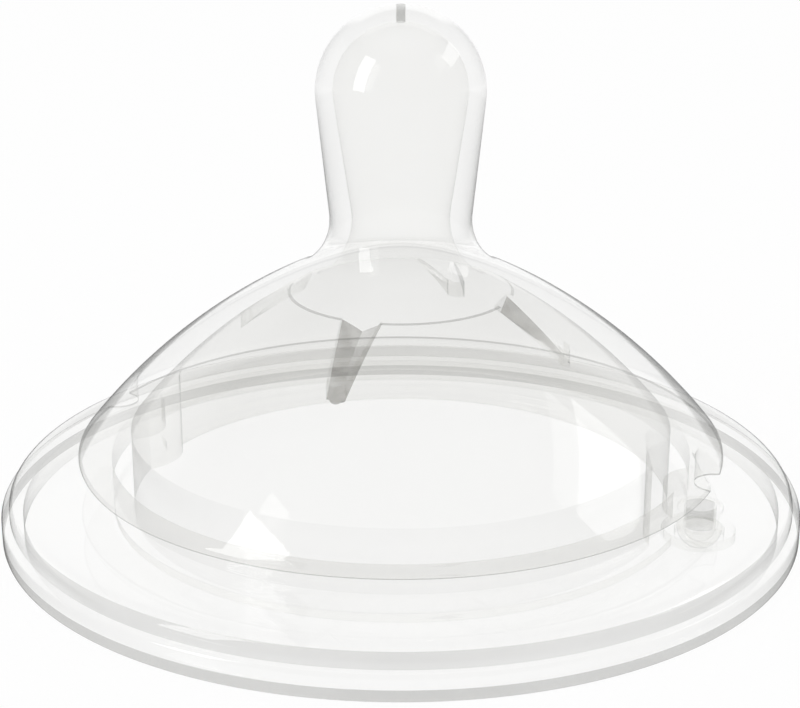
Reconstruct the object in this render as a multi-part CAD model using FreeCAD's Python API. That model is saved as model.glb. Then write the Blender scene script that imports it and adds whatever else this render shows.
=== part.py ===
import FreeCAD
import Part
import math
import os

# Clear silicone teat for a wide-neck feeding bottle, in millimetres.
# +Z runs up the nipple's axis, z = 0 is the underside of the sealing rim, and the vent lies on +X.

# sealing rim and flange
rim_radius = 30.0
rim_width = 1.6
rim_height = 1.95
rim_edge_round = 0.35
tier_step = 0.6             # how far the flange's edge stands in from the rim below it
flange_thickness = 1.4
flange_edge_round = 1.0

# neck that the bottle's ring closes round
neck_wall = 1.5
neck_drop = 0.75            # how far the neck reaches below the flange
groove_height = 2.15

# dome and its lip
lip_overhang = 2.45         # how far the lip stands out over the groove's floor
lip_round = 0.9
lip_side = 0.14             # straight part of the lip's side, under its round
dome_wall = 1.0             # at the nipple's root
dome_foot_wall = 2.2        # at the lip
shoulder_slope = 25.4       # degrees, where the dome runs into the nipple's root

# nipple
teat_height = 38.4
bulb_radius = 6.13
nipple_wall = 1.25
stem_taper = 6.0            # degrees on each side
waist_height = 22.9
flare_radius = 4.25
waist_wall = 1.6
bell_radius = 5.5           # flare of the bore, down to a crease under the dome
feed_hole_radius = 0.35

# wedge-shaped ribs under the dome
rib_count = 4
rib_end_radius = 13.0
rib_root_width = 3.0
rib_tip_width = 1.3
rib_depth = 1.0

# vent valve, and the recesses that the neck and lip make for it
vent_land = 2.7             # sealing face between the rim and the vent's boss
vent_stand = 1.4            # vent's axis out from the neck's wall
vent_radius = 1.65
vent_wall = 0.5
vent_collar_height = 0.35
vent_boss_radius = 2.6
vent_boss_height = 0.8
vent_floor = 0.4            # lowest point of the closed valve above the rim's underside
vent_slit = 0.16
vent_gap = 0.06             # between the tube's end and the two lips
vent_swing = 0.15           # room in the boss for the lips to open
recess_clearance = 0.15
recess_wall = 1.3
notch_radius = 1.6

axis_z = FreeCAD.Vector(0, 0, 1)
origin = FreeCAD.Vector(0, 0, 0)


def point(r, z):
    return FreeCAD.Vector(r, 0, z)


def polar(centre, radius, angle):
    # angle in radians from straight up, turning outwards
    return point(centre.x + radius * math.sin(angle), centre.z + radius * math.cos(angle))


def line(start, end):
    return Part.LineSegment(start, end).toShape()


def arc(centre, radius, first, last):
    middle = polar(centre, radius, (first + last) / 2)
    return Part.Arc(polar(centre, radius, first), middle, polar(centre, radius, last)).toShape()


def revolve(edges):
    face = Part.Face(Part.Wire(Part.sortEdges(edges)[0]))
    return face.revolve(origin, axis_z, 360)


def ring(inner, outer, low, high):
    return post(0, outer, low, high).cut(post(0, inner, low, high))


def post(x, radius, low, high):
    return Part.makeCylinder(radius, high - low, FreeCAD.Vector(x, 0, low))


def turned(shape, degrees):
    copy = shape.copy()
    copy.rotate(origin, axis_z, degrees)
    return copy


os.makedirs("parts", exist_ok=True)
taper = math.radians(stem_taper)
slope = math.radians(shoulder_slope)

# radii inwards from the rim, and heights up the flange and the neck
flange_radius = rim_radius - tier_step
vent_offset = rim_radius - rim_width - vent_land - vent_boss_radius
neck_radius = vent_offset - vent_stand
lip_radius = neck_radius + lip_overhang
flange_top = rim_height + flange_thickness
lip_floor = flange_top + groove_height
neck_floor = rim_height - neck_drop
neck_bore = neck_radius - neck_wall

# centres of the bulb and of the flare round the waist
bulb = point(0, teat_height - bulb_radius)
bulb_tangent = polar(bulb, bulb_radius, math.pi / 2 + taper)
flare_top = waist_height + flare_radius * math.sin(taper)
flare_start = bulb_tangent.x - (bulb_tangent.z - flare_top) * math.tan(taper)
flare = point(flare_start + flare_radius * math.cos(taper), waist_height)
flare_first = math.pi * 1.5 + taper
flare_last = math.pi + slope
shoulder = polar(flare, flare_radius, flare_last)

# the dome's long arc leaves the shoulder at its slope and runs into the lip's round
bead = point(lip_radius - lip_round, lip_floor + lip_side)
chord = bead - shoulder
drop = chord.x * math.sin(slope) + chord.z * math.cos(slope) + lip_round
dome_radius = (lip_round ** 2 - chord.Length ** 2) / (2 * drop)
dome = polar(shoulder, -dome_radius, slope)
bead_angle = math.asin((bead.x - dome.x) / (dome_radius - lip_round))

# the vault is the dome's inside, an arc set off sideways so that the wall thickens towards the lip
vault_shift = (dome_foot_wall - dome_wall) / math.sin(bead_angle - slope)
vault = polar(dome, -vault_shift, slope + math.pi / 2)
vault_radius = dome_radius - dome_wall
bore_angle = math.asin((neck_bore - vault.x) / vault_radius)
neck_top = polar(vault, vault_radius, bore_angle)

# the nipple's bore, tangent to the bulb's inside and to the bell, which ends at the crease
bulb_inside = bulb_radius - nipple_wall
bell = point(flare.x - flare_radius - waist_wall + bell_radius, waist_height)
bell_reach = bell - bulb
bore_side = math.asin((bulb_inside + bell_radius) / bell_reach.Length)
bore_side = bore_side + math.atan2(-bell_reach.z, bell_reach.x)
bore_top = polar(bulb, bulb_inside, bore_side)
bell_first = math.pi + bore_side
bell_top = polar(bell, bell_radius, bell_first)
centres = bell - vault
crease_turn = centres.Length ** 2 + vault_radius ** 2 - bell_radius ** 2
crease_turn = math.acos(crease_turn / (2 * centres.Length * vault_radius))
crease_angle = math.atan2(centres.x, centres.z) + crease_turn
crease = polar(vault, vault_radius, crease_angle)
bell_last = math.pi + math.atan2(bell.x - crease.x, bell.z - crease.z)


def nipple_tip():
    outer_hole = math.asin(feed_hole_radius / bulb_radius)
    inner_hole = math.asin(feed_hole_radius / bulb_inside)
    return revolve([
        arc(bulb, bulb_radius, outer_hole, math.pi / 2 + taper),
        line(bulb_tangent, bore_top),
        arc(bulb, bulb_inside, bore_side, inner_hole),
        line(polar(bulb, bulb_inside, inner_hole), polar(bulb, bulb_radius, outer_hole)),
    ])


def nipple_stem():
    waist = polar(flare, flare_radius, flare_first)
    return revolve([
        line(bulb_tangent, waist),
        line(waist, bell_top),
        line(bell_top, bore_top),
        line(bore_top, bulb_tangent),
    ])


def nipple_root():
    return revolve([
        arc(flare, flare_radius, flare_first, flare_last),
        line(shoulder, crease),
        arc(bell, bell_radius, bell_last, bell_first),
        line(bell_top, polar(flare, flare_radius, flare_first)),
    ])


def dome_shell():
    return revolve([
        arc(dome, dome_radius, slope, bore_angle),
        line(polar(dome, dome_radius, bore_angle), neck_top),
        arc(vault, vault_radius, bore_angle, crease_angle),
        line(crease, shoulder),
    ])


def dome_lip():
    side_foot = point(lip_radius, lip_floor)
    body = revolve([
        arc(dome, dome_radius, bore_angle, bead_angle),
        arc(bead, lip_round, bead_angle, math.pi / 2),
        line(point(lip_radius, bead.z), side_foot),
        line(side_foot, point(neck_bore, lip_floor)),
        line(point(neck_bore, lip_floor), neck_top),
        line(neck_top, polar(dome, dome_radius, bore_angle)),
    ])
    for x in (lip_radius, -lip_radius):
        body = body.cut(post(x, notch_radius, 0, teat_height))
    return body


recess_radius = vent_boss_radius + recess_clearance


def neck_ring():
    body = ring(neck_bore, neck_radius, neck_floor, lip_floor)
    for x in (vent_offset, -vent_offset):
        body = body.cut(post(x, recess_radius, neck_floor, lip_floor))
    return body


def recess_backing(x):
    # the neck's wall carried round behind the recess, up to the inside of the dome
    inside = revolve([
        line(point(0, neck_floor), point(neck_bore, neck_floor)),
        line(point(neck_bore, neck_floor), neck_top),
        arc(vault, vault_radius, bore_angle, crease_angle),
        line(crease, point(0, crease.z)),
        line(point(0, crease.z), point(0, neck_floor)),
    ])
    backing = post(x, recess_radius + recess_wall, neck_floor, teat_height).common(inside)
    return backing.cut(post(x, recess_radius, neck_floor, teat_height))


def flange():
    body = revolve([
        line(point(0, rim_height), point(flange_radius, rim_height)),
        line(point(flange_radius, rim_height), point(flange_radius, flange_top - flange_edge_round)),
        arc(point(flange_radius - flange_edge_round, flange_top - flange_edge_round),
            flange_edge_round, math.pi / 2, 0),
        line(point(flange_radius - flange_edge_round, flange_top), point(0, flange_top)),
        line(point(0, flange_top), point(0, rim_height)),
    ])
    opening = post(0, neck_radius, rim_height, flange_top)
    for x in (vent_offset, -vent_offset):
        opening = opening.cut(post(x, recess_radius, rim_height, flange_top))
    return body.cut(opening).cut(post(vent_offset, vent_radius, rim_height, flange_top))


def sealing_rim():
    inner = rim_radius - rim_width
    round_centre = point(rim_radius - rim_edge_round, rim_height - rim_edge_round)
    return revolve([
        line(point(inner, 0), point(rim_radius, 0)),
        line(point(rim_radius, 0), point(rim_radius, round_centre.z)),
        arc(round_centre, rim_edge_round, math.pi / 2, 0),
        line(point(round_centre.x, rim_height), point(inner, rim_height)),
        line(point(inner, rim_height), point(inner, 0)),
    ])


def rib():
    # a wedge lying on the vault, wide at the nipple's root and round at its outer end
    tip = rib_tip_width / 2
    root = rib_root_width / 2
    end = rib_end_radius - tip
    under = vault_radius - rib_depth
    start = polar(vault, under, crease_angle).x
    outline = Part.Wire(Part.sortEdges([
        line(FreeCAD.Vector(start, -root, 0), FreeCAD.Vector(end, -tip, 0)),
        Part.Arc(FreeCAD.Vector(end, -tip, 0), FreeCAD.Vector(rib_end_radius, 0, 0),
                 FreeCAD.Vector(end, tip, 0)).toShape(),
        line(FreeCAD.Vector(end, tip, 0), FreeCAD.Vector(start, root, 0)),
        line(FreeCAD.Vector(start, root, 0), FreeCAD.Vector(start, -root, 0)),
    ])[0])
    wedge = Part.Face(outline).extrude(axis_z * teat_height)
    layer = revolve([
        arc(vault, vault_radius, crease_angle, bore_angle),
        line(neck_top, polar(vault, under, bore_angle)),
        arc(vault, under, bore_angle, crease_angle),
        line(polar(vault, under, crease_angle), crease),
    ])
    return wedge.common(layer)


valve_height = vent_floor + vent_radius
vent_bore = vent_radius - vent_wall


def vent_tube():
    top = flange_top + vent_collar_height
    outer = post(vent_offset, vent_radius, valve_height + vent_gap, top)
    return outer.cut(post(vent_offset, vent_bore, valve_height + vent_gap, top))


def vent_boss():
    low = rim_height - vent_boss_height
    outer = post(vent_offset, vent_boss_radius, low, rim_height)
    return outer.cut(post(vent_offset, vent_radius + vent_swing, low, rim_height))


def vent_lip(side):
    # one half of the valve's round end, cut off at the slit
    centre = FreeCAD.Vector(vent_offset, 0, valve_height)
    shell = Part.makeSphere(vent_radius, centre).cut(Part.makeSphere(vent_bore, centre))
    width = 2 * vent_radius
    corner = FreeCAD.Vector(vent_offset - vent_radius, vent_slit / 2, vent_floor)
    half = Part.makeBox(width, width, vent_radius, corner)
    lip = shell.common(half)
    if side < 0:
        lip = lip.mirror(origin, FreeCAD.Vector(0, 1, 0))
    return lip


nodes = {
    "nipple_tip": nipple_tip(),
    "nipple_stem": nipple_stem(),
    "nipple_root": nipple_root(),
    "dome_shell": dome_shell(),
    "dome_lip": dome_lip(),
    "neck_ring": neck_ring(),
    "recess_backing_vent": recess_backing(vent_offset),
    "recess_backing_plain": recess_backing(-vent_offset),
    "flange": flange(),
    "sealing_rim": sealing_rim(),
    "vent_tube": vent_tube(),
    "vent_boss": vent_boss(),
    "vent_lip_left": vent_lip(1),
    "vent_lip_right": vent_lip(-1),
}
for index in range(rib_count):
    nodes["dome_rib_" + str(index + 1)] = turned(rib(), index * 360 / rib_count)

for name, shape in nodes.items():
    shape.exportStep("parts/" + name + ".step")
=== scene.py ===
import math

import bmesh
import bpy
from mathutils import Matrix, Vector


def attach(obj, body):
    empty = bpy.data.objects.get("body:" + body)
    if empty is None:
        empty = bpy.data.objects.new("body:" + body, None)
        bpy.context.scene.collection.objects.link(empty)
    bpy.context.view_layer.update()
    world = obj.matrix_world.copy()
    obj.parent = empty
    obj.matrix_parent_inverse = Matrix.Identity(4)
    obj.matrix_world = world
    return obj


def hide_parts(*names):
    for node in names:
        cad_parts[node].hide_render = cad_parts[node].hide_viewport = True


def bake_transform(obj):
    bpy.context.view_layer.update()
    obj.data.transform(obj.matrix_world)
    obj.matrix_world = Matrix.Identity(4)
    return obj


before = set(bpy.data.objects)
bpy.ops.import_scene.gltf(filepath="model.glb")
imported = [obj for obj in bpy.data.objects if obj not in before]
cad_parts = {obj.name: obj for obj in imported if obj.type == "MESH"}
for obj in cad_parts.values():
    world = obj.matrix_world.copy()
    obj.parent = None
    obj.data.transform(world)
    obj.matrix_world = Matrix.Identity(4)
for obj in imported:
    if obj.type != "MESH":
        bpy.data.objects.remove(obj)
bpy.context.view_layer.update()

mm = 0.001
hair = 0.01          # slack in millimetres when a face is told by its place
weldReach = 0.0005   # millimetres within which points become one
sharpFrom = 32.0     # degrees between two faces from which their edge stays sharp


# drawing in the half plane y = 0, in millimetres, turned round Z afterwards

def polar(centre, radius, degrees):  # degrees from straight up, turning outwards
    turn = math.radians(degrees)
    return (centre[0] + radius * math.sin(turn), centre[1] + radius * math.cos(turn))


def lineTo(bm, vert, spot):
    made = bmesh.ops.extrude_vert_indiv(bm, verts=[vert])["verts"][0]
    made.co = (spot[0], 0, spot[1])
    return made


def arcTo(bm, vert, centre, degrees, steps):
    made = bmesh.ops.spin(bm, geom=[vert], cent=(centre[0], 0, centre[1]), axis=(0, 1, 0),
                          angle=math.radians(degrees), steps=steps)
    return [g for g in made["geom_last"] if isinstance(g, bmesh.types.BMVert)][0]


def roundCorners(bm, corners, radius, segments=3):
    bmesh.ops.bevel(bm, geom=corners, offset=radius, offset_type="OFFSET", segments=segments,
                    profile=0.5, affect="VERTICES", material=-1)


def splitEdges(bm, longest):  # rings along the straight runs, so that they can bend
    for edge in list(bm.edges):
        cuts = int(edge.calc_length() / longest)
        if cuts:
            bmesh.ops.subdivide_edges(bm, edges=[edge], cuts=cuts)


def rotationZ(degrees):
    return Matrix.Rotation(math.radians(degrees), 3, "Z")


def turnRound(bm, sectors, start=0.0):  # (degrees, steps) one after the other
    geom = list(bm.verts) + list(bm.edges)
    bmesh.ops.rotate(bm, verts=list(bm.verts), matrix=rotationZ(start))
    for degrees, steps in sectors:
        made = bmesh.ops.spin(bm, geom=geom, cent=(0, 0, 0), axis=(0, 0, 1),
                              angle=math.radians(degrees), steps=steps, use_merge=degrees == 360)
        geom = made["geom_last"]
    bmesh.ops.remove_doubles(bm, verts=list(bm.verts), dist=weldReach)
    bmesh.ops.recalc_face_normals(bm, faces=list(bm.faces))


def shadeByAngle(bm):
    for edge in bm.edges:
        sharp = len(edge.link_faces) == 2 and edge.calc_face_angle(0) > math.radians(sharpFrom)
        edge.smooth = not sharp
    for face in bm.faces:
        face.smooth = True


def toObject(bm, name, materials):
    bmesh.ops.scale(bm, vec=(mm, mm, mm), verts=list(bm.verts))
    shadeByAngle(bm)
    mesh = bpy.data.meshes.new(name)
    bm.to_mesh(mesh)
    bm.free()
    for material in materials:
        mesh.materials.append(material)
    piece = bpy.data.objects.new(name, mesh)
    bpy.context.scene.collection.objects.link(piece)
    return piece


# camera

view = {
    "azimuth": 20.5, "elevation": 19.22, "distance": 141.0,
    "lookHeight": 12.4, "lookSide": -0.06,
    "lens": 84.95, "sensor": 36.0, "clip": (0.005, 50.0),
}


def directionAt(azimuth, elevation):
    turn = math.radians(azimuth)
    rise = math.radians(elevation)
    return Vector((math.cos(rise) * math.sin(turn), -math.cos(rise) * math.cos(turn), math.sin(rise)))


def sidewaysDirection():
    turn = math.radians(view["azimuth"])
    return (math.cos(turn), math.sin(turn), 0)


def addCamera():
    target = (Vector((0, 0, view["lookHeight"])) + Vector(sidewaysDirection()) * view["lookSide"]) * mm
    away = directionAt(view["azimuth"], view["elevation"])
    data = bpy.data.cameras.new("photoCamera")
    data.sensor_width = view["sensor"]
    data.lens = view["lens"]
    data.clip_start, data.clip_end = view["clip"]
    camera = bpy.data.objects.new("photoCamera", data)
    camera.location = target + away * view["distance"] * mm
    camera.rotation_euler = (-away).to_track_quat("-Z", "Y").to_euler()
    bpy.context.scene.collection.objects.link(camera)
    bpy.context.scene.camera = camera
    print("camera at", [round(c, 4) for c in camera.location])


# studio: white floor and backdrop, and two soft boxes; gloss shows a dim ceiling and a dark patch of floor

studio = {
    "floorColour": (0.90, 0.90, 0.895, 1),
    "floorLift": 0.94,             # share of plain white in what is seen of the floor
    "floorSize": 3.0,
    "floorDrop": 0.05,             # millimetres under the teat
    "lowGlow": 1.0,                # backdrop near the horizon, as the gloss shows it
    "highGlow": 0.12,              # and the ceiling and the camera's side
    "glowFall": (0.35, 0.85),      # sines of the elevations between which it falls off
    "glowTurn": (-0.1, 0.5),       # cosines of the turn away from the backdrop
    "fill": 0.75,                  # what the room gives to matt surfaces
    "underTone": 0.65,             # floor in the gloss: under the teat, round it and farther off
    "roundTone": 0.18,
    "farTone": 1.0,
    "underTo": (0.0285, 0.033),
    "underStretch": (0.91, 1.18),  # sideways and towards the backdrop
    "farFrom": (0.085, 0.2),       # towards the backdrop
    "stripTone": 1.2,              # light strip straight behind the teat
    "stripHalf": (0.012, 0.02),
}


def toneStep(nodes, links, value, reach, first, last):
    step = nodes.new("ShaderNodeMapRange")
    step.interpolation_type = "SMOOTHSTEP"
    step.inputs["From Min"].default_value, step.inputs["From Max"].default_value = reach
    step.inputs["To Min"].default_value = first
    step.inputs["To Max"].default_value = last
    links.new(value, step.inputs["Value"])
    return step.outputs["Result"]


def mathNode(nodes, links, operation, first, second):
    node = nodes.new("ShaderNodeMath")
    node.operation = operation
    links.new(first, node.inputs[0])
    if isinstance(second, float):
        node.inputs[1].default_value = second
    else:
        links.new(second, node.inputs[1])
    return node.outputs[0]


def mixShaders(nodes, links, share, first, second):
    mix = nodes.new("ShaderNodeMixShader")
    links.new(share, mix.inputs["Fac"])
    links.new(first.outputs[0], mix.inputs[1])
    links.new(second.outputs[0], mix.inputs[2])
    return mix


def whiteGlow(nodes, kind, strength=1.0):
    glow = nodes.new(kind)
    glow.inputs["Color"].default_value = (1, 1, 1, 1)
    glow.inputs["Strength"].default_value = strength
    return glow


def vectorLength(nodes, links, vector):
    length = nodes.new("ShaderNodeVectorMath")
    length.operation = "LENGTH"
    links.new(vector, length.inputs[0])
    return length.outputs["Value"]


def towardsBackdrop(nodes, links, vector):
    turn = math.radians(view["azimuth"])
    share = nodes.new("ShaderNodeVectorMath")
    share.operation = "DOT_PRODUCT"
    share.inputs[1].default_value = (-math.sin(turn), math.cos(turn), 0)
    links.new(vector, share.inputs[0])
    return share.outputs["Value"]


def afterGloss(nodes, links, path):  # 1 on a sight line that has been thrown back by a glossy skin
    return mathNode(nodes, links, "GREATER_THAN", path.outputs["Glossy Depth"], 0.5)


def addWorld():
    world = bpy.data.worlds.new("studioRoom")
    bpy.context.scene.world = world
    world.use_nodes = True
    nodes, links = world.node_tree.nodes, world.node_tree.links
    nodes.clear()
    out = nodes.new("ShaderNodeOutputWorld")
    path = nodes.new("ShaderNodeLightPath")
    coords = nodes.new("ShaderNodeTexCoord")
    split = nodes.new("ShaderNodeSeparateXYZ")
    links.new(coords.outputs["Generated"], split.inputs[0])
    low = toneStep(nodes, links, split.outputs["Z"], studio["glowFall"], 1.0, 0.0)
    behind = towardsBackdrop(nodes, links, coords.outputs["Generated"])
    facing = toneStep(nodes, links, behind, studio["glowTurn"], 0.0, 1.0)
    fall = nodes.new("ShaderNodeMapRange")
    fall.inputs["To Min"].default_value = studio["highGlow"]
    fall.inputs["To Max"].default_value = studio["lowGlow"]
    links.new(mathNode(nodes, links, "MULTIPLY", low, facing), fall.inputs["Value"])
    room = whiteGlow(nodes, "ShaderNodeBackground")
    links.new(fall.outputs["Result"], room.inputs["Strength"])
    fill = whiteGlow(nodes, "ShaderNodeBackground", studio["fill"])
    white = whiteGlow(nodes, "ShaderNodeBackground")
    seen = mixShaders(nodes, links, afterGloss(nodes, links, path), white, room)
    last = mixShaders(nodes, links, path.outputs["Is Diffuse Ray"], seen, fill)
    links.new(last.outputs[0], out.inputs["Surface"])


def glossTone(nodes, links):  # floor as the gloss shows it
    place = nodes.new("ShaderNodeTexCoord").outputs["Object"]
    oval = nodes.new("ShaderNodeMapping")
    oval.vector_type = "TEXTURE"
    oval.inputs["Rotation"].default_value = (0, 0, math.radians(view["azimuth"]))
    oval.inputs["Scale"].default_value = studio["underStretch"] + (1,)
    links.new(place, oval.inputs["Vector"])
    away = vectorLength(nodes, links, oval.outputs["Vector"])
    under = toneStep(nodes, links, away, studio["underTo"], studio["underTone"], studio["roundTone"])
    behind = towardsBackdrop(nodes, links, place)
    far = toneStep(nodes, links, behind, studio["farFrom"], studio["roundTone"], studio["farTone"])
    sideways = nodes.new("ShaderNodeVectorMath")
    sideways.operation = "PROJECT"
    sideways.inputs[1].default_value = sidewaysDirection()
    links.new(place, sideways.inputs[0])
    across = vectorLength(nodes, links, sideways.outputs["Vector"])
    strip = toneStep(nodes, links, across, studio["stripHalf"], studio["stripTone"], 0.0)
    beyond = toneStep(nodes, links, behind, studio["underTo"], 0.0, 1.0)
    strip = mathNode(nodes, links, "MULTIPLY", strip, beyond)
    tone = mathNode(nodes, links, "MAXIMUM", under, far)
    return mathNode(nodes, links, "MAXIMUM", tone, strip)


def floorMaterial():
    material = bpy.data.materials.new("paleFloor")
    material.use_nodes = True
    nodes, links = material.node_tree.nodes, material.node_tree.links
    nodes.clear()
    out = nodes.new("ShaderNodeOutputMaterial")
    path = nodes.new("ShaderNodeLightPath")
    matt = nodes.new("ShaderNodeBsdfDiffuse")
    matt.inputs["Color"].default_value = studio["floorColour"]
    sight = mathNode(nodes, links, "MAXIMUM", path.outputs["Is Camera Ray"], path.outputs["Is Glossy Ray"])
    sight = mathNode(nodes, links, "MAXIMUM", sight, path.outputs["Is Transmission Ray"])
    amount = mathNode(nodes, links, "MULTIPLY", sight, studio["floorLift"])
    lift = whiteGlow(nodes, "ShaderNodeEmission")
    seen = mixShaders(nodes, links, amount, matt, lift)
    inGloss = whiteGlow(nodes, "ShaderNodeEmission")
    links.new(glossTone(nodes, links), inGloss.inputs["Strength"])
    last = mixShaders(nodes, links, afterGloss(nodes, links, path), seen, inGloss)
    links.new(last.outputs[0], out.inputs["Surface"])
    return material


def addFloor():
    bm = bmesh.new()
    bmesh.ops.create_circle(bm, cap_ends=True, segments=96, radius=studio["floorSize"] / mm)
    bmesh.ops.translate(bm, verts=list(bm.verts), vec=(0, 0, -studio["floorDrop"]))
    floor = toObject(bm, "studioFloor", [floorMaterial()])


softBoxes = {  # azimuth round from the camera's side, elevation, distance and size in metres, watts
    "leftBox": {"azimuth": -58.0, "elevation": 27.0, "distance": 0.7, "size": (0.22, 0.52), "power": 1.7},
    "rightBox": {"azimuth": 97.0, "elevation": 36.0, "distance": 0.7, "size": (0.36, 0.18), "power": 0.5},
}


def addSoftBoxes():
    target = Vector((0, 0, view["lookHeight"])) * mm
    for name, box in softBoxes.items():
        away = directionAt(view["azimuth"] + box["azimuth"], box["elevation"])
        data = bpy.data.lights.new(name, "AREA")
        data.shape = "RECTANGLE"
        data.size, data.size_y = box["size"]
        data.energy = box["power"]
        lamp = bpy.data.objects.new(name, data)
        lamp.location = target + away * box["distance"]
        lamp.rotation_euler = (-away).to_track_quat("-Z", "Y").to_euler()
        bpy.context.scene.collection.objects.link(lamp)


# clear silicone, one finish for each kind of surface; most kinds carry painted shade in their tint

kinds = ["wall", "bore", "vault", "neck", "edge", "side", "foot", "line", "rib", "seam"]

# painted shade that turns with the view: a clear tint that takes the painted shade away at middling slants, and
# a painted dark tint at grazing slants that stands in for the dark ends that internal reflection gives the rim
shadeClearedAtSlant = (0.96, 0.96, 0.95, 1)
paintedShadeAtGlance = ((0.16, 0.16, 0.15, 1), (0.84, 0.96))

silicone = {  # what a surface lets through: greyer where more silicone lies behind it, and in most kinds painted darker still, as painted shade for the darkening that bending and internal reflection of light give the real walls; some kinds change their painted shade at given slants
    "wall": {"tint": (0.986, 0.986, 0.979, 1), "patch": (0.972, 0.972, 0.965, 1), "skin": 1.0},
    # bore, vault and neck: inner walls painted greyer than the outer wall, as painted shade for the grey that
    # reflection and refraction give the see-through insides, the neck, the groove and the lip's underside
    "bore": {"tint": (0.978, 0.978, 0.970, 1), "patch": (0.962, 0.962, 0.954, 1), "skin": 0.3},
    "vault": {"tint": (0.948, 0.947, 0.938, 1), "patch": (0.914, 0.913, 0.902, 1), "skin": 0.45},
    "neck": {"tint": (0.920, 0.919, 0.910, 1), "patch": (0.875, 0.874, 0.863, 1), "skin": 1.0},
    # edge: painted dark band, as painted shade, on the flange's rounded edge and lining the vent's hole and the
    # feed hole; it clears at middling slants and turns darker at grazing ones
    "edge": {"tint": (0.72, 0.72, 0.71, 1), "patch": (0.58, 0.58, 0.57, 1), "skin": 1.0,
             "slants": [(shadeClearedAtSlant, (0.4, 0.7)), paintedShadeAtGlance]},
    # side: upper half of the rim's side, painted dark at grazing slants as painted shade
    "side": {"tint": (0.96, 0.96, 0.953, 1), "patch": (0.94, 0.94, 0.933, 1), "skin": 1.0,
             "slants": [paintedShadeAtGlance]},
    # foot: lower half of the rim's side painted dark, as painted shade for the dark foot line that the rim's
    # bottom edge shows, darker still at grazing slants
    "foot": {"tint": (0.54, 0.54, 0.53, 1), "patch": (0.38, 0.38, 0.37, 1), "skin": 1.0,
             "slants": [paintedShadeAtGlance]},
    # line: painted dark line, as painted shade for the dark lines that bending of light gives rounded edges
    "line": {"tint": (0.54, 0.54, 0.53, 1), "patch": (0.40, 0.40, 0.39, 1), "skin": 1.0},  # along sharp edges
    # rib: the ribs' undersides painted dark grey with dark noise patches, as painted shade for the dark faces
    # the ribs show through the dome; the painted shade clears at slants
    "rib": {"tint": (0.64, 0.63, 0.61, 1), "patch": (0.10, 0.095, 0.08, 1), "skin": 1.0, "scale": 650.0,
            "slants": [(shadeClearedAtSlant, (0.3, 0.7))]},
    "ior": 1.0,                # the walls don't bend what is behind them
    "skinIor": 1.42,
    "smooth": 0.02,
    "matt": 0.07,
    "mattFrom": (0.3, 0.7),    # patches between which the skin goes from smooth to matt
    "patchScale": 90.0,
    "rippleScale": 220.0,
    "rippleHeight": 0.02,
    "rippleDepth": 0.0005,
}


def clearSilicone(kind):
    look = silicone[kind]
    material = bpy.data.materials.new(kind + "Silicone")
    material.use_nodes = True
    nodes, links = material.node_tree.nodes, material.node_tree.links
    shader = nodes["Principled BSDF"]
    shader.inputs["Transmission Weight"].default_value = 1.0
    shader.inputs["IOR"].default_value = silicone["ior"]
    shader.inputs["Roughness"].default_value = 0.0
    shader.inputs["Coat Weight"].default_value = look["skin"]
    shader.inputs["Coat IOR"].default_value = silicone["skinIor"]
    coords = nodes.new("ShaderNodeTexCoord")
    patches = nodes.new("ShaderNodeTexNoise")  # faint patches from the mould's polish, in gloss and tint; in the darker kinds they also spread the painted shade unevenly
    patches.inputs["Scale"].default_value = look.get("scale", silicone["patchScale"])
    patches.inputs["Detail"].default_value = 2.0
    links.new(coords.outputs["Object"], patches.inputs["Vector"])
    tint = nodes.new("ShaderNodeMix")
    tint.data_type = "RGBA"
    tint.inputs["A"].default_value = look["tint"]
    tint.inputs["B"].default_value = look["patch"]
    links.new(patches.outputs["Fac"], tint.inputs["Factor"])
    colour = tint.outputs["Result"]
    # painted shade that changes with the slant of the view, mixed over the tint
    for shade, reach in look.get("slants", []):
        slant = nodes.new("ShaderNodeLayerWeight")
        slant.inputs["Blend"].default_value = 0.5
        share = toneStep(nodes, links, slant.outputs["Facing"], reach, 0.0, 1.0)
        turned = nodes.new("ShaderNodeMix")
        turned.data_type = "RGBA"
        turned.inputs["B"].default_value = shade
        links.new(share, turned.inputs["Factor"])
        links.new(colour, turned.inputs["A"])
        colour = turned.outputs["Result"]
    links.new(colour, shader.inputs["Base Color"])
    rough = nodes.new("ShaderNodeMapRange")
    rough.inputs["From Min"].default_value, rough.inputs["From Max"].default_value = silicone["mattFrom"]
    rough.inputs["To Min"].default_value = silicone["smooth"]
    rough.inputs["To Max"].default_value = silicone["matt"]
    links.new(patches.outputs["Fac"], rough.inputs["Value"])
    links.new(rough.outputs["Result"], shader.inputs["Coat Roughness"])
    ripple = nodes.new("ShaderNodeTexNoise")  # soft moulded skin
    ripple.inputs["Scale"].default_value = silicone["rippleScale"]
    ripple.inputs["Detail"].default_value = 1.0
    links.new(coords.outputs["Object"], ripple.inputs["Vector"])
    bump = nodes.new("ShaderNodeBump")
    bump.inputs["Strength"].default_value = silicone["rippleHeight"]
    bump.inputs["Distance"].default_value = silicone["rippleDepth"]
    links.new(ripple.outputs["Fac"], bump.inputs["Height"])
    links.new(bump.outputs["Normal"], shader.inputs["Coat Normal"])
    return material


def seamMaterial():  # where two lengths of the moulding run on into each other
    material = bpy.data.materials.new("innerSeam")
    material.use_nodes = True
    nodes, links = material.node_tree.nodes, material.node_tree.links
    nodes.clear()
    out = nodes.new("ShaderNodeOutputMaterial")
    through = nodes.new("ShaderNodeBsdfTransparent")
    through.inputs["Color"].default_value = (1, 1, 1, 1)
    links.new(through.outputs[0], out.inputs["Surface"])
    return material


# the moulding's lines, which body and nipple share

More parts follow.
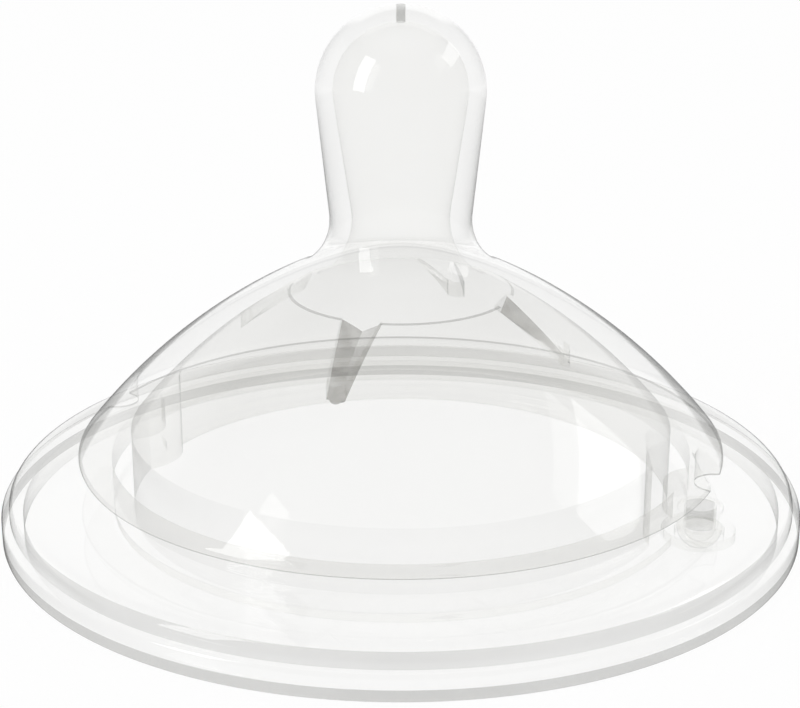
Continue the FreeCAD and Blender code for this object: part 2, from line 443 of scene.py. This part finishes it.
nippleForm = {
    "height": 38.4, "bulbRadius": 6.13, "wall": 1.25, "taper": 6.0,
    "waistHeight": 22.9, "flareRadius": 4.25, "waistWall": 1.6, "bellRadius": 5.5, "feedHole": 0.35,
    "seamHeight": 24.6,
    "ringGap": 0.6,    # longest run between two rings of points
    "boreSkin": 0.05,  # slack round the bore's faces
}
domeForm = {
    "slope": 25.4, "wall": 1.0, "footWall": 2.2,
    "lipRadius": 24.15, "lipRound": 0.9, "lipSide": 0.14, "lipFloor": 5.5,
    "neckRadius": 21.7, "neckBore": 20.2, "neckFloor": 1.2, "flangeTop": 3.35,
    "flangeRadius": 29.4, "flangeRound": 1.0, "rimRadius": 30.0, "rimWidth": 1.6, "rimHeight": 1.95,
    "rimRound": 0.35, "softEdge": 0.12, "softCorner": 0.1,
    "ringGap": 1.0,
    "sectors": [(20, 80), (70, 35), (20, 20), (70, 35)] * 2,  # degrees and steps, finest at the two recesses
    "firstSector": -10,
}
ventForm = {
    "x": 23.1, "tube": 1.65, "bore": 1.15, "collar": 0.35, "boss": 2.6, "bossHeight": 0.8, "floor": 0.4,
    "swing": 0.15, "gap": 0.06, "slit": 0.16, "recess": 2.75, "backing": 4.05, "notch": 1.6,
    "sink": 0.7,           # how deep collar and boss stand in the flange
    "past": (2.0, 1.0),    # how far the cutter of the hole runs past the flange and the neck's foot
    "steps": 64,
}
ribForm = {
    "count": 4, "endRadius": 13.0, "rootWidth": 3.0, "tipWidth": 1.3, "depth": 1.0, "sink": 0.5,
    "ridge": 0.7,          # how much the underside falls away from its middle at the root
    "steps": (24, 6),
    "underLean": -0.5,     # faces that lean farther down than this are the underside
}


def nippleLines():
    n = nippleForm
    bulb = (0, n["height"] - n["bulbRadius"])
    side = 90 + n["taper"]
    tangent = polar(bulb, n["bulbRadius"], side)
    taper = math.radians(n["taper"])
    flareTop = n["waistHeight"] + n["flareRadius"] * math.sin(taper)
    flareStart = tangent[0] - (tangent[1] - flareTop) * math.tan(taper)
    flare = (flareStart + n["flareRadius"] * math.cos(taper), n["waistHeight"])
    return bulb, side, flare


def boreLines():  # the bore runs straight from the bulb's inside to the bell
    n = nippleForm
    bulb, side, flare = nippleLines()
    bell = (flare[0] - n["flareRadius"] - n["waistWall"] + n["bellRadius"], n["waistHeight"])
    inner = n["bulbRadius"] - n["wall"]
    reach = Vector((bell[0] - bulb[0], bell[1] - bulb[1]))
    lean = math.asin((inner + n["bellRadius"]) / reach.length)
    boreSide = math.degrees(lean + math.atan2(-reach.y, reach.x))
    return bell, inner, boreSide


def domeLines():
    d = domeForm
    bulb, side, flare = nippleLines()
    shoulder = polar(flare, nippleForm["flareRadius"], 180 + d["slope"])
    bead = (d["lipRadius"] - d["lipRound"], d["lipFloor"] + d["lipSide"])
    reach = Vector((bead[0] - shoulder[0], bead[1] - shoulder[1]))
    slope = math.radians(d["slope"])
    drop = reach.x * math.sin(slope) + reach.y * math.cos(slope) + d["lipRound"]
    radius = (d["lipRound"] ** 2 - reach.length_squared) / (2 * drop)
    dome = polar(shoulder, -radius, d["slope"])
    beadAngle = math.degrees(math.asin((bead[0] - dome[0]) / (radius - d["lipRound"])))
    return dome, radius, bead, beadAngle


def vaultLines():  # the dome's inside, up to the crease where the bell begins
    d = domeForm
    dome, radius, bead, beadAngle = domeLines()
    bell, inner, boreSide = boreLines()
    shift = (d["footWall"] - d["wall"]) / math.sin(math.radians(beadAngle - d["slope"]))
    vault = polar(dome, -shift, d["slope"] + 90)
    inside = radius - d["wall"]
    boreAngle = math.degrees(math.asin((d["neckBore"] - vault[0]) / inside))
    reach = Vector((bell[0] - vault[0], bell[1] - vault[1]))
    turn = (reach.length_squared + inside ** 2 - nippleForm["bellRadius"] ** 2) / (2 * reach.length * inside)
    creaseAngle = math.degrees(math.atan2(reach.x, reach.y) + math.acos(turn))
    crease = polar(vault, inside, creaseAngle)
    bellLast = 180 + math.degrees(math.atan2(bell[0] - crease[0], bell[1] - crease[1]))
    return vault, inside, boreAngle, creaseAngle, bellLast


def seamSpot(outside):  # on the stem's straight taper, at the seam's height
    bulb, side, flare = nippleLines()
    bell, inner, boreSide = boreLines()
    top = polar(bulb, nippleForm["bulbRadius"], side) if outside else polar(bulb, inner, boreSide)
    taper = math.radians((side if outside else boreSide) - 90)
    drop = top[1] - nippleForm["seamHeight"]
    return (top[0] - drop * math.tan(taper), nippleForm["seamHeight"])


def drawBody(bm):
    n, d = nippleForm, domeForm
    bulb, side, flare = nippleLines()
    dome, radius, bead, beadAngle = domeLines()
    bell, inner, boreSide = boreLines()
    vault, inside, boreAngle, creaseAngle, bellLast = vaultLines()
    bend = 90 + n["taper"] - d["slope"]
    first = 270 + n["taper"]
    edges, corners = [], []
    start = bm.verts.new((seamSpot(True)[0], 0, n["seamHeight"]))
    v = lineTo(bm, start, polar(flare, n["flareRadius"], first))
    v = arcTo(bm, v, flare, -bend, 20)
    v = arcTo(bm, v, dome, beadAngle - d["slope"], 30)
    v = arcTo(bm, v, bead, 90 - beadAngle, 8)
    v = lineTo(bm, v, (d["lipRadius"], d["lipFloor"]))
    edges.append(v)
    v = lineTo(bm, v, (d["neckRadius"], d["lipFloor"]))
    corners.append(v)
    v = lineTo(bm, v, (d["neckRadius"], d["flangeTop"]))
    corners.append(v)
    v = lineTo(bm, v, (d["flangeRadius"] - d["flangeRound"], d["flangeTop"]))
    v = arcTo(bm, v, (d["flangeRadius"] - d["flangeRound"], d["flangeTop"] - d["flangeRound"]), 90, 8)
    v = lineTo(bm, v, (d["flangeRadius"], d["rimHeight"]))
    v = lineTo(bm, v, (d["rimRadius"] - d["rimRound"], d["rimHeight"]))
    v = arcTo(bm, v, (d["rimRadius"] - d["rimRound"], d["rimHeight"] - d["rimRound"]), 90, 5)
    v = lineTo(bm, v, (d["rimRadius"], 0))
    edges.append(v)
    v = lineTo(bm, v, (d["rimRadius"] - d["rimWidth"], 0))
    edges.append(v)
    v = lineTo(bm, v, (d["rimRadius"] - d["rimWidth"], d["rimHeight"]))
    corners.append(v)
    v = lineTo(bm, v, (d["neckRadius"], d["rimHeight"]))
    corners.append(v)
    v = lineTo(bm, v, (d["neckRadius"], d["neckFloor"]))
    edges.append(v)
    v = lineTo(bm, v, (d["neckBore"], d["neckFloor"]))
    edges.append(v)
    v = lineTo(bm, v, polar(vault, inside, boreAngle))
    v = arcTo(bm, v, vault, creaseAngle - boreAngle, 24)
    crease = v
    v = arcTo(bm, v, bell, 180 + boreSide - bellLast, 24)
    v = lineTo(bm, v, seamSpot(False))
    bm.edges.new((v, start))
    roundCorners(bm, edges[1:] + [crease], d["softEdge"])
    roundCorners(bm, edges[:1], d["softEdge"], 2)  # the lip's straight side is short
    roundCorners(bm, corners, d["softCorner"])


recessZone = {  # millimetres, which points of the turned body the recesses move
    "grooveHalf": 0.4, "slack": 0.1, "lipFrom": 0.3, "lipBelow": 0.05,
    "boreFrom": 18.0, "borePast": 0.25, "boreTop": 9.0,
}


def circleReach(centre, radius, x, y):  # how far out along (x, y) a round post stands off the axis, or None
    turn = math.atan2(y, x)
    away = centre * math.sin(turn)
    if abs(away) >= radius:
        return None
    return centre * math.cos(turn) - math.sqrt(radius ** 2 - away ** 2)


def shapeRecesses(bm):  # recess, its backing and the lip's notch, on the vent's side and opposite
    d, f, zone = domeForm, ventForm, recessZone
    for v in bm.verts:
        x, y, z = abs(v.co.x), v.co.y, v.co.z
        reach = math.hypot(x, y)
        limit = None
        atGroove = abs(reach - d["neckRadius"]) < zone["grooveHalf"]
        if atGroove and d["neckFloor"] - zone["slack"] < z < d["lipFloor"] + zone["slack"]:
            limit = circleReach(f["x"], f["recess"], x, y)
            if limit is not None:
                limit += reach - d["neckRadius"]
        elif reach > d["neckBore"] + zone["lipFrom"] and z > d["lipFloor"] - zone["lipBelow"]:
            limit = circleReach(d["lipRadius"], f["notch"], x, y)
        elif zone["boreFrom"] < reach < d["neckBore"] + zone["borePast"] and z < zone["boreTop"]:
            limit = circleReach(f["x"], f["backing"], x, y)
        elif reach < d["neckRadius"] and z < d["neckFloor"] + zone["slack"]:  # the neck's foot, between the two
            inner = circleReach(f["x"], f["backing"], x, y) or d["neckBore"]
            outer = circleReach(f["x"], f["recess"], x, y) or d["neckRadius"]
            limit = (min(inner, d["neckBore"]) + min(outer, d["neckRadius"])) / 2
        if limit is not None and limit < reach:
            v.co.x *= limit / reach
            v.co.y *= limit / reach


def addRib(bm, turn):
    r = ribForm
    vault, inside, boreAngle, creaseAngle, bellLast = vaultLines()
    under = inside - r["depth"]
    first = polar(vault, under, creaseAngle)[0]
    rib = bmesh.new()
    bmesh.ops.create_grid(rib, x_segments=r["steps"][0], y_segments=r["steps"][1], size=1.0)
    bmesh.ops.extrude_face_region(rib, geom=list(rib.faces))
    half = len(rib.verts) // 2
    for number, v in enumerate(rib.verts):
        upper = number >= half
        share = (v.co.x + 1) / 2
        width = r["rootWidth"] + (r["tipWidth"] - r["rootWidth"]) * share
        x = first + (r["endRadius"] - first) * share
        y = v.co.y * width / 2
        if share > 0.999:  # the last row is rounded
            x -= (r["tipWidth"] / 2) * (1 - math.sqrt(max(0.0, 1 - v.co.y ** 2)))
        reach = math.hypot(x, y)
        arc = inside + r["sink"] if upper else under + r["ridge"] * abs(v.co.y) * (1 - share)
        v.co = (x, y, vault[1] + math.sqrt(arc ** 2 - (reach - vault[0]) ** 2))
    bmesh.ops.recalc_face_normals(rib, faces=list(rib.faces))
    # the underside faces take the rib finish: painted dark grey as painted shade
    for face in rib.faces:
        if face.normal.z < r["underLean"]:
            face.material_index = kinds.index("rib")
    bmesh.ops.rotate(rib, verts=list(rib.verts), matrix=rotationZ(turn))
    mesh = bpy.data.meshes.new("ribPart")
    rib.to_mesh(mesh)
    rib.free()
    bm.from_mesh(mesh)
    bpy.data.meshes.remove(mesh)


def ribsAndVent(materials):  # what stands on the body: wedge ribs inside the dome, the vent's collar and boss
    bm = bmesh.new()
    f, d = ventForm, domeForm
    for index in range(ribForm["count"]):
        addRib(bm, 360 * index / ribForm["count"])
    for outer, low, high in ((f["tube"], d["flangeTop"] - f["sink"], d["flangeTop"] + f["collar"]),
                             (f["boss"], d["rimHeight"] - f["bossHeight"], d["rimHeight"] + f["sink"])):
        made = bmesh.ops.create_cone(bm, cap_ends=True, segments=f["steps"], radius1=outer, radius2=outer,
                                     depth=high - low)
        bmesh.ops.translate(bm, verts=made["verts"], vec=(f["x"], 0, (low + high) / 2))
    return toObject(bm, "ribsAndVent", materials)


def ventBore(materials):  # stepped hole down through the vent
    bm = bmesh.new()
    f, d = ventForm, domeForm
    top = d["flangeTop"] + f["past"][0]
    bottom = d["neckFloor"] - f["past"][1]
    step = f["floor"] + f["tube"] + f["gap"]
    start = bm.verts.new((0, 0, top))
    v = lineTo(bm, start, (f["bore"], top))
    v = lineTo(bm, v, (f["bore"], step))
    v = lineTo(bm, v, (f["tube"], step))
    v = lineTo(bm, v, (f["tube"], d["rimHeight"]))
    v = lineTo(bm, v, (f["tube"] + f["swing"], d["rimHeight"]))
    v = lineTo(bm, v, (f["tube"] + f["swing"], bottom))
    v = lineTo(bm, v, (0, bottom))
    turnRound(bm, [(360, f["steps"])])
    bmesh.ops.translate(bm, verts=list(bm.verts), vec=(f["x"], 0, 0))
    # the hole's wall above the step takes the edge finish, painted dark as painted shade inside the hole; the
    # cut passes it on to the body
    for face in bm.faces:
        low = face.calc_center_median().z < step + hair
        face.material_index = kinds.index("wall" if low else "edge")
    return toObject(bm, "ventBore", materials)


def combine(piece, helper, operation):
    step = piece.modifiers.new(operation, "BOOLEAN")
    step.object = helper
    step.operation = operation
    step.solver = "MANIFOLD"
    bpy.context.view_layer.update()
    shaped = bpy.data.meshes.new_from_object(piece.evaluated_get(bpy.context.evaluated_depsgraph_get()))
    piece.modifiers.clear()
    old = piece.data
    piece.data = shaped
    bpy.data.meshes.remove(old)
    bpy.data.objects.remove(helper)


surfaceZone = {  # millimetres, where one kind of surface gives way to the next
    "footTop": 0.8, "sideBelow": 0.1, "edgeDepth": 0.3, "line": 0.13, "lipBelow": 0.1,
    "borePast": 0.2, "groovePast": 0.05,
}


def surfaceKind(reach, z, inward, crease, neckTop):
    d, zone = domeForm, surfaceZone
    # the lower strip of the rim's side takes the foot finish, painted dark as painted shade
    if reach > d["rimRadius"] - d["softEdge"] and z < zone["footTop"]:
        return "foot"  # lower half of the rim's side
    # the rest of the rim's side takes the side finish, with painted shade at grazing slants
    if reach > d["rimRadius"] - d["softEdge"] and z < d["rimHeight"] - zone["sideBelow"]:
        return "side"
    # the flange's rounded edge takes the edge finish, painted dark as painted shade
    if reach > d["flangeRadius"] - zone["edgeDepth"] and d["rimHeight"] + hair < z < d["flangeTop"]:
        return "edge"
    # a thin band along the lip's lower edge and round the crease takes the line finish: a painted dark line, as
    # painted shade
    nearLip = d["lipFloor"] - zone["lipBelow"] < z < d["lipFloor"] + zone["line"]
    if reach > d["lipRadius"] - zone["line"] and nearLip:
        return "line"
    if math.dist((reach, z), crease) < zone["line"]:
        return "line"
    # inner walls take the bore, vault and neck finishes, which are painted greyer as painted shade; the groove
    # and the lip's underside take the neck's
    if reach < crease[0] and inward:
        return "bore"
    if inward and reach < d["neckBore"] + zone["borePast"]:
        return "vault" if z > neckTop else "neck"
    if d["neckBore"] < reach < d["lipRadius"] and d["flangeTop"] < z < d["lipFloor"] + zone["groovePast"]:
        return "neck"  # groove and the lip's underside
    return "wall"


def markSurfaces(bm):
    vault, inside, boreAngle, creaseAngle, bellLast = vaultLines()
    crease = polar(vault, inside, creaseAngle)
    neckTop = polar(vault, inside, boreAngle)[1]
    for face in bm.faces:
        spot = face.calc_center_median()
        inward = spot.x * face.normal.x + spot.y * face.normal.y < 0
        kind = surfaceKind(math.hypot(spot.x, spot.y), spot.z, inward, crease, neckTop)
        face.material_index = kinds.index(kind)


def markSeam(bm):
    height = nippleForm["seamHeight"]
    for face in bm.faces:
        if all(abs(v.co.z - height) < hair for v in face.verts):
            face.material_index = kinds.index("seam")


def makeBody(materials):
    bm = bmesh.new()
    drawBody(bm)
    splitEdges(bm, domeForm["ringGap"])
    turnRound(bm, domeForm["sectors"], domeForm["firstSector"])
    markSurfaces(bm)
    shapeRecesses(bm)
    markSeam(bm)
    body = toObject(bm, "teatBody", materials)
    combine(body, ribsAndVent(materials), "UNION")
    combine(body, ventBore(materials), "DIFFERENCE")
    body.data.name = "teatBody"
    joined = bmesh.new()
    joined.from_mesh(body.data)
    shadeByAngle(joined)
    joined.to_mesh(body.data)
    joined.free()
    return body


def makeNipple(materials):
    n = nippleForm
    bulb, side, flare = nippleLines()
    bell, inner, boreSide = boreLines()
    outerHole = math.degrees(math.asin(n["feedHole"] / n["bulbRadius"]))
    innerHole = math.degrees(math.asin(n["feedHole"] / inner))
    bm = bmesh.new()
    spot = polar(bulb, n["bulbRadius"], outerHole)
    start = bm.verts.new((spot[0], 0, spot[1]))
    v = arcTo(bm, start, bulb, side - outerHole, 36)
    v = lineTo(bm, v, seamSpot(True))
    v = lineTo(bm, v, seamSpot(False))
    v = lineTo(bm, v, polar(bulb, inner, boreSide))
    v = arcTo(bm, v, bulb, innerHole - boreSide, 28)
    bm.edges.new((v, start))
    splitEdges(bm, n["ringGap"])
    turnRound(bm, [(360, 160)])
    for face in bm.faces:
        spot = face.calc_center_median()
        reach = math.hypot(spot.x, spot.y)
        # the feed hole's lining takes the edge finish, painted dark as painted shade inside the hole
        if reach < n["feedHole"] + hair:
            face.material_index = kinds.index("edge")
        elif math.hypot(reach, max(0, spot.z - bulb[1])) < inner + n["boreSkin"]:
            face.material_index = kinds.index("bore")
    markSeam(bm)
    return toObject(bm, "nipple", materials)


def makeVentLip(name, turn, materials):  # half of the valve's round end, on one side of the slit
    f = ventForm
    bm = bmesh.new()
    start = bm.verts.new((f["tube"], 0, 0))
    v = arcTo(bm, start, (0, 0), 90, 12)
    v = lineTo(bm, v, (0, -f["bore"]))
    v = arcTo(bm, v, (0, 0), -90, 12)
    bm.edges.new((v, start))
    bmesh.ops.spin(bm, geom=list(bm.verts) + list(bm.edges), cent=(0, 0, 0), axis=(0, 0, 1),
                   angle=math.radians(180), steps=40)
    bmesh.ops.remove_doubles(bm, verts=list(bm.verts), dist=weldReach)
    bmesh.ops.bisect_plane(bm, geom=list(bm.verts) + list(bm.edges) + list(bm.faces),
                           plane_co=(0, f["slit"] / 2, 0), plane_no=(0, 1, 0), clear_inner=True)
    bmesh.ops.holes_fill(bm, edges=[e for e in bm.edges if e.is_boundary])
    bmesh.ops.recalc_face_normals(bm, faces=list(bm.faces))
    bmesh.ops.rotate(bm, verts=list(bm.verts), matrix=rotationZ(turn))
    bmesh.ops.translate(bm, verts=list(bm.verts), vec=(f["x"], 0, f["floor"] + f["tube"]))
    return toObject(bm, name, materials)


addCamera()
addWorld()
addFloor()
addSoftBoxes()
print("studio made")
materials = [clearSilicone(kind) for kind in kinds[:-1]] + [seamMaterial()]

body = makeBody(materials)
print("body made,", len(body.data.polygons), "faces")
nipple = makeNipple(materials)
print("nipple made,", len(nipple.data.polygons), "faces")
lipLeft = makeVentLip("ventLipLeft", 0, materials[:1])
lipRight = makeVentLip("ventLipRight", 180, materials[:1])
print("vent lips made")

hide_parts("nipple_root", "dome_shell", "dome_lip", "neck_ring",
            "recess_backing_vent", "recess_backing_plain", "flange", "sealing_rim", "vent_tube", "vent_boss",
            "dome_rib_1", "dome_rib_2", "dome_rib_3", "dome_rib_4")
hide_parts("nipple_stem", "nipple_tip")
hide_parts("vent_lip_left")
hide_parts("vent_lip_right")
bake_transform(body)
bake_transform(nipple)
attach(lipLeft, "valve_left")
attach(lipRight, "valve_right")

wallsCrossed = 32  # a sight line crosses many clear walls
bpy.context.scene.view_settings.view_transform = "Standard"
bpy.context.scene.cycles.max_bounces = wallsCrossed
bpy.context.scene.cycles.transmission_bounces = wallsCrossed
bpy.context.scene.cycles.transparent_max_bounces = wallsCrossed
